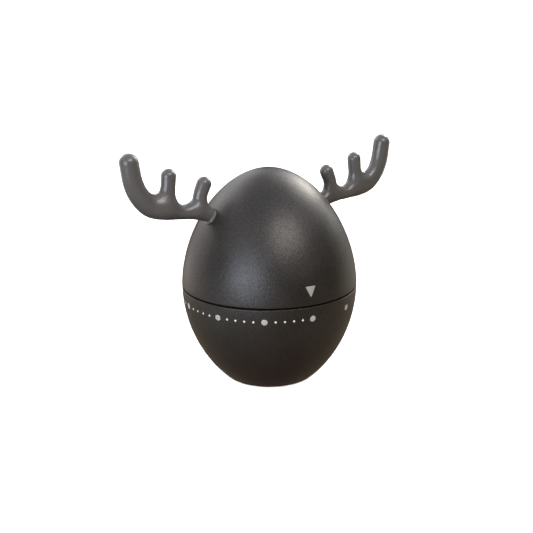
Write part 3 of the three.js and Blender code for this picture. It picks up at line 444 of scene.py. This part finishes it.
def skin(distance, lowest, highest, step):
    """The surface where distance is 0, as (vertices, quads): one vertex in each cell that it crosses."""
    axes = [np.arange(a, b + step, step) for a, b in zip(lowest, highest)]
    grid = np.stack(np.meshgrid(*axes, indexing="ij"), -1)
    shape = grid.shape[:3]
    values = distance(grid.reshape(-1, 3)).reshape(shape)
    inside = values < 0
    cells = tuple(n - 1 for n in shape)
    total, count = np.zeros((*cells, 3)), np.zeros(cells)
    window = {0: slice(0, -1), 1: slice(1, None)}
    crossings = []
    for axis in range(3):
        first = tuple(window[0] if a == axis else slice(None) for a in range(3))
        second = tuple(window[1] if a == axis else slice(None) for a in range(3))
        crossed = inside[first] != inside[second]
        v0, v1 = values[first], values[second]
        share = np.where(crossed, v0 / np.where(crossed, v0 - v1, 1), 0)
        point = grid[first] + share[..., None] * (grid[second] - grid[first])
        others = [a for a in range(3) if a != axis]
        for d1 in (0, 1):
            for d2 in (0, 1):
                pick = [slice(None)] * 3
                pick[others[0]], pick[others[1]] = window[d1], window[d2]
                hit = crossed[tuple(pick)]
                total += np.where(hit[..., None], point[tuple(pick)], 0)
                count += hit
        crossings.append((axis, others, crossed, inside[first]))
    index = np.full(cells, -1)
    index[count > 0] = np.arange((count > 0).sum())
    vertices = total[count > 0] / count[count > 0][:, None]
    quads = []
    for axis, others, crossed, starts_inside in crossings:
        for cell in np.argwhere(crossed):
            corners = []
            for d1, d2 in ((0, 0), (1, 0), (1, 1), (0, 1)):
                at = cell.copy()
                at[others[0]] -= d1
                at[others[1]] -= d2
                corners.append(index[tuple(at)])
            outward = starts_inside[tuple(cell)] == (axis != 1)
            quads.append(corners if outward else corners[::-1])
    # Each vertex then moves onto the surface along the distance's slope.
    small = step * 0.05
    for _ in range(3):
        here = distance(vertices)
        slope = np.stack([(distance(vertices + small * e) - here) / small for e in np.eye(3)], 1)
        vertices = vertices - (here / np.maximum((slope**2).sum(1), 0.2))[:, None] * slope
    return vertices, quads


def antlers(material):
    vertices, quads = skin(antler_distance, ANTLER_LOWEST, ANTLER_HIGHEST, SKIN_STEP)
    vertices = vertices + np.array([0, 0, SEAM_Z])
    for side, sign in (("right", 1), ("left", -1)):
        bm = bmesh.new()
        made = [bm.verts.new((sign * x * MM, y * MM, z * MM)) for x, y, z in vertices]
        for quad in quads:
            bm.faces.new([made[i] for i in (quad if sign > 0 else quad[::-1])])
        name, node = f"moulded_antler_{side}", f"antler_{side}"
        piece(name, bm, "turning_half", material, [node], sharp_deg=50)


# ---------------------------------------------------------------- materials


def colour(code):
    """An sRGB hex colour as linear red, green, blue and alpha."""
    parts = [int(code[i : i + 2], 16) / 255 for i in (1, 3, 5)]
    linear = [c / 12.92 if c <= 0.04045 else ((c + 0.055) / 1.055) ** 2.4 for c in parts]
    return (*linear, 1.0)


def every(size_mm):
    """The texture scale at which a pattern's features are size_mm apart."""
    return 1 / (size_mm * MM)


def add(tree, kind, sockets=None, **settings):
    """Adds a node. Each socket is given a value, or another node's output to link."""
    made = tree.nodes.new("ShaderNode" + kind)
    for key, value in settings.items():
        setattr(made, key, value)
    for key, value in (sockets or {}).items():
        if isinstance(value, bpy.types.NodeSocket):
            tree.links.new(value, made.inputs[key])
        else:
            made.inputs[key].default_value = value
    return made


def new_material(name, **shader):
    """A new material, its tree, its shader and the object's own coordinates."""
    made = bpy.data.materials.new(name)
    made.use_nodes = True
    tree = made.node_tree
    principled = tree.nodes["Principled BSDF"]
    for key, value in shader.items():
        principled.inputs[key.replace("_", " ").title().replace("Ior", "IOR")].default_value = value
    place = add(tree, "TexCoord").outputs["Object"]
    return made, tree, principled, place


def spread(tree, value, lowest, highest):
    """A 0 to 1 pattern stretched to run from lowest to highest."""
    sockets = {"Value": value, "From Min": 0.3, "From Max": 0.7, "To Min": lowest, "To Max": highest}
    return add(tree, "MapRange", sockets).outputs["Result"]


def blended(tree, share, first, second):
    """Two colours, or colour outputs, mixed by a pattern."""
    made = add(tree, "Mix", {0: share, 6: first, 7: second}, data_type="RGBA")
    return made.outputs[2]


def moulded_abs(name, base, pale, grain_um, roughness, roughness_spread, dulling):
    """Charcoal ABS, injection moulded in a spark-eroded tool: a fine even grain that breaks up the
    reflections, and a slightly cloudy colour where the melt flowed."""
    made, tree, principled, place = new_material(name, ior=1.54)
    cloud = add(tree, "TexNoise", {"Vector": place, "Scale": every(14), "Detail": 3.0}).outputs[0]
    # The real grain is about 0.1 mm. It is drawn at 0.45 to 0.6 mm, the finest that still shows.
    grain = add(tree, "TexNoise", {"Vector": place, "Scale": every(0.6), "Detail": 2.0}).outputs[0]
    speck = add(tree, "TexNoise", {"Vector": place, "Scale": every(0.45), "Detail": 1.0}).outputs[0]
    tone = blended(tree, spread(tree, cloud, 0.0, 1.0), colour(base), colour(pale))
    speckled = blended(tree, spread(tree, speck, 0.0, 0.4), tone, colour(pale))
    tree.links.new(speckled, principled.inputs["Base Color"])
    gloss = spread(tree, cloud, roughness - roughness_spread, roughness + roughness_spread)
    tree.links.new(gloss, principled.inputs["Roughness"])
    # Light is lost in the grain's pits, so each speck reflects a little more or less than the next.
    shine = spread(tree, speck, 0.5 - dulling, 0.5 + dulling)
    tree.links.new(shine, principled.inputs["Specular IOR Level"])
    bump = add(tree, "Bump", {"Height": grain, "Strength": 1.0, "Distance": grain_um * 1e-6})
    tree.links.new(bump.outputs[0], principled.inputs["Normal"])
    return made


def moulded_rubber():
    """Black nitrile rubber from a blasted mould: dull, with a soft tooth."""
    made, tree, principled, place = new_material("moulded_nitrile_rubber", roughness=0.78, ior=1.52)
    grain = add(tree, "TexNoise", {"Vector": place, "Scale": every(0.5), "Detail": 3.0}).outputs[0]
    tone = blended(tree, spread(tree, grain, 0.0, 1.0), colour("#1F1B19"), colour("#2A2523"))
    tree.links.new(tone, principled.inputs["Base Color"])
    bump = add(tree, "Bump", {"Height": grain, "Strength": 1.0, "Distance": 12e-6})
    tree.links.new(bump.outputs[0], principled.inputs["Normal"])
    return made


def pad_print_ink(name, base, worn):
    """Pad-printed ink, dry and slightly uneven, thin enough for the shell's grain to show through."""
    made, tree, principled, place = new_material(name, roughness=0.55, ior=1.5)
    grain = add(tree, "TexNoise", {"Vector": place, "Scale": every(0.4), "Detail": 2.0}).outputs[0]
    tone = blended(tree, spread(tree, grain, 0.0, 1.0), colour(base), colour(worn))
    tree.links.new(tone, principled.inputs["Base Color"])
    bump = add(tree, "Bump", {"Height": grain, "Strength": 1.0, "Distance": 6e-6})
    tree.links.new(bump.outputs[0], principled.inputs["Normal"])
    return made


def worked_metal(name, base, tarnish, roughness, line_mm, stretch, bump_um):
    """Bare metal with fine parallel working lines and a breath of tarnish. stretch is how much
    longer the lines are than they are apart, along X, Y and Z."""
    made, tree, principled, place = new_material(name, metallic=1.0)
    longer = [1 / s for s in stretch]
    lines_place = add(tree, "Mapping", {"Vector": place, "Scale": longer}).outputs[0]
    line_sockets = {"Vector": lines_place, "Scale": every(line_mm), "Detail": 3.0}
    lines = add(tree, "TexNoise", line_sockets).outputs[0]
    patches = add(tree, "TexNoise", {"Vector": place, "Scale": every(5), "Detail": 4.0}).outputs[0]
    tone = blended(tree, spread(tree, patches, 0.0, 1.0), colour(base), colour(tarnish))
    tree.links.new(tone, principled.inputs["Base Color"])
    tree.links.new(spread(tree, lines, roughness - 0.08, roughness + 0.08), principled.inputs["Roughness"])
    bump = add(tree, "Bump", {"Height": lines, "Strength": 1.0, "Distance": bump_um * 1e-6})
    tree.links.new(bump.outputs[0], principled.inputs["Normal"])
    return made


def spun_nickel():
    """Bright nickel plate over spun steel: a near mirror with faint rings from the spinning tool."""
    made, tree, principled, place = new_material("nickel_plated_spun_steel", metallic=1.0)
    clouds = add(tree, "TexNoise", {"Vector": place, "Scale": every(8)}).outputs[0]
    tone = blended(tree, spread(tree, clouds, 0.0, 1.0), colour("#D2D0CB"), colour("#C3C1BC"))
    tree.links.new(tone, principled.inputs["Base Color"])
    # A wave texture runs 20 radians in its unit of length, so these rings lie 2 pi * 0.6 mm apart.
    ring_sockets = {"Vector": place, "Scale": every(0.6) / 20, "Distortion": 0.6}
    rings = add(tree, "TexWave", ring_sockets, wave_type="RINGS", rings_direction="Z").outputs["Fac"]
    tree.links.new(spread(tree, rings, 0.1, 0.2), principled.inputs["Roughness"])
    bump = add(tree, "Bump", {"Height": rings, "Strength": 1.0, "Distance": 2e-6})
    tree.links.new(bump.outputs[0], principled.inputs["Normal"])
    return made


# ---------------------------------------------------------------- the object

shell_abs = moulded_abs("satin_charcoal_abs", "#1A1816", "#25221F", 45, 0.42, 0.04, 0.12)
antler_abs = moulded_abs("polished_charcoal_abs", "#525150", "#5A5958", 3, 0.28, 0.015, 0.1)
rubber = moulded_rubber()
minute_ink = pad_print_ink("white_minute_ink", "#F0F0EF", "#E6E6E5")
five_minute_ink = pad_print_ink("pale_grey_five_minute_ink", "#BDBDBC", "#AFAFAE")
pointer_ink = pad_print_ink("mid_grey_pointer_ink", "#A2A3A1", "#969795")

METALS = {
    "brass": worked_metal("stamped_cartridge_brass", "#C9A45A", "#B08A45", 0.3, 0.12, (12, 1, 1), 3),
    "steel": worked_metal("lapped_mild_steel", "#A3A5A6", "#8F9192", 0.33, 0.12, (1, 12, 1), 3),
    "spring_steel": worked_metal("blued_spring_steel", "#4A586E", "#5C5168", 0.27, 0.15, (1, 1, 10), 2),
    "gong_steel": spun_nickel(),
}

upper_shell(shell_abs)
lower_shell(shell_abs)
foot(rubber)
dots("printed_five_minute_dots", MAJOR_MINUTES, MAJOR_DOT_R, five_minute_ink)
dots("printed_minute_dots", MINOR_MINUTES, MINOR_DOT_R, minute_ink)
pointer(pointer_ink)
antlers(antler_abs)

for row in frame["record"]["subparts"]:
    if row["material_slot"] in METALS:
        shown = frame["nodes"][row["node"]]
        shown.data.materials.clear()
        shown.data.materials.append(METALS[row["material_slot"]])


# ---------------------------------------------------------------- floor, light and camera


FLOOR_R = 8.0
FLOOR_GLOW = 2.9
LIGHT_DISTANCE = 0.5
LIGHT_AIM_Z = 40
ROOM_GLOW = 1.2
# What the timer sees of the room, from straight down to straight up: the height of a direction, and
# its colour. A warm table top below, a dark wall at eye level, and a bright ceiling.
ROOM = [
    (-1.0, "#61453F"),
    (-0.5, "#958872"),
    (-0.15, "#837459"),
    (0.0, "#141312"),
    (0.15, "#141312"),
    (0.4, "#616156"),
    (0.7, "#F0ECF2"),
    (1.0, "#141312"),
]
CAMERA_DISTANCE = 245
CAMERA_AZIMUTH_DEG = -31.0
CAMERA_ELEVATION_DEG = 15.95
CAMERA_ROLL_DEG = -0.58
CAMERA_AIM_RISE = 5.26
CAMERA_AIM_LEFT = 0.9
CAMERA_SENSOR = 36
CAMERA_LENS = 48.09


def stage_floor():
    bm = bmesh.new()
    bmesh.ops.create_circle(bm, cap_ends=True, radius=FLOOR_R, segments=96)
    mesh = bpy.data.meshes.new("floor")
    bm.to_mesh(mesh)
    bm.free()
    made, tree, principled, place = new_material("matt_white_floor", roughness=0.9)
    soft = add(tree, "TexNoise", {"Vector": place, "Scale": every(60)}).outputs[0]
    tone = blended(tree, spread(tree, soft, 0.0, 1.0), colour("#F7F6F5"), colour("#F5F4F3"))
    tree.links.new(tone, principled.inputs["Base Color"])
    mesh.materials.append(made)
    floor = bpy.data.objects.new("floor", mesh)
    bpy.context.scene.collection.objects.link(floor)
    # The egg sees a darker room below it, as it does on a real table, and not the bright floor.
    floor.visible_diffuse = False
    floor.visible_glossy = False
    return floor


def direction(azimuth_deg, elevation_deg):
    """Towards a light or the camera: azimuth 0 is in front, at -Y, and 90 is at +X."""
    a, e = math.radians(azimuth_deg), math.radians(elevation_deg)
    return Vector((math.sin(a) * math.cos(e), -math.cos(a) * math.cos(e), math.sin(e)))


def soft_light(name, azimuth_deg, elevation_deg, width, height, radiance, tint):
    """A soft box aimed at the egg, width by height in metres. Its power follows from its radiance."""
    data = bpy.data.lights.new(name, "AREA")
    data.shape = "RECTANGLE"
    data.size, data.size_y = width, height
    data.energy = radiance * math.pi * width * height
    data.color = colour(tint)[:3]
    made = bpy.data.objects.new(name, data)
    bpy.context.scene.collection.objects.link(made)
    aim = Vector((0, 0, LIGHT_AIM_Z * MM))
    towards = direction(azimuth_deg, elevation_deg)
    made.location = aim + towards * LIGHT_DISTANCE
    made.rotation_euler = towards.to_track_quat("Z", "Y").to_euler()


def floor_light(floor):
    """An even glow without shadows, on the floor alone, which leaves the egg's own light as it is."""
    data = bpy.data.lights.new("floor_glow", "SUN")
    data.energy = FLOOR_GLOW
    data.use_shadow = False
    made = bpy.data.objects.new("floor_glow", data)
    bpy.context.scene.collection.objects.link(made)
    lit = bpy.data.collections.new("lit_by_floor_glow")
    lit.objects.link(floor)
    made.light_linking.receiver_collection = lit


def room():
    """A room for the timer to sit in, behind a plain white backdrop for the camera."""
    world = bpy.data.worlds.new("room")
    world.use_nodes = True
    tree = world.node_tree
    up = add(tree, "SeparateXYZ", {"Vector": add(tree, "TexCoord").outputs["Generated"]}).outputs["Z"]
    ramp = add(tree, "ValToRGB", {"Fac": add(tree, "MapRange", {"Value": up, "From Min": -1.0}).outputs[0]})
    stops = ramp.color_ramp.elements
    for (height, code), stop in zip((ROOM[0], ROOM[-1]), stops):
        stop.position, stop.color = (height + 1) / 2, colour(code)
    for height, code in ROOM[1:-1]:
        stops.new((height + 1) / 2).color = colour(code)
    background = tree.nodes["Background"]
    tree.links.new(ramp.outputs["Color"], background.inputs["Color"])
    background.inputs["Strength"].default_value = ROOM_GLOW
    white = add(tree, "Background", {"Color": colour("#FFFFFF"), "Strength": 1.0})
    seen = add(tree, "LightPath").outputs["Is Camera Ray"]
    shown = add(tree, "MixShader", {0: seen, 1: background.outputs[0], 2: white.outputs[0]})
    tree.links.new(shown.outputs[0], tree.nodes["World Output"].inputs["Surface"])
    bpy.context.scene.world = world


def camera():
    """A short telephoto view from the front left, a little above."""
    azimuth = math.radians(CAMERA_AZIMUTH_DEG)
    back = direction(CAMERA_AZIMUTH_DEG, CAMERA_ELEVATION_DEG)
    right = Vector((math.cos(azimuth), math.sin(azimuth), 0))
    aim = Vector((0, 0, (SEAM_Z + CAMERA_AIM_RISE) * MM)) - right * CAMERA_AIM_LEFT * MM
    data = bpy.data.cameras.new("camera")
    data.sensor_width = CAMERA_SENSOR
    data.lens = CAMERA_LENS
    made = bpy.data.objects.new("camera", data)
    bpy.context.scene.collection.objects.link(made)
    made.location = aim + back * CAMERA_DISTANCE * MM
    upright = back.to_track_quat("Z", "Y").to_matrix().to_4x4()
    made.rotation_euler = (upright @ Matrix.Rotation(math.radians(CAMERA_ROLL_DEG), 4, "Z")).to_euler()
    data.clip_start, data.clip_end = 0.01, 50
    bpy.context.scene.camera = made


camera()
floor_light(stage_floor())
room()
soft_light("cool_window", -61, 8, 0.34, 0.22, 7.2, "#E7EEFF")
soft_light("warm_ceiling", 0, 43, 0.32, 0.17, 7.2, "#FFF4ED")
soft_light("rim_window", 112, 34, 0.12, 0.15, 18.5, "#FFF9ED")
soft_light("back_window", 112, 34, 0.35, 0.45, 2.3, "#FFFFFF")
soft_light("rear_wall", 180, 30, 0.4, 0.3, 1.7, "#FFFFFF")
soft_light("rear_left_ceiling", -150, 45, 0.3, 0.3, 0.7, "#FFFFFF")
soft_light("left_wall", -150, 8, 0.45, 0.45, 1.2, "#FFF8F8")
soft_light("left_table", -100, -20, 0.4, 0.3, 0.45, "#DAF4FF")
soft_light("right_wall", 95, 3, 0.4, 0.4, 0.58, "#FFFBF2")
soft_light("overhead", 0, 85, 0.4, 0.4, 0.65, "#EEF8FF")
bpy.context.scene.view_settings.view_transform = "Standard"
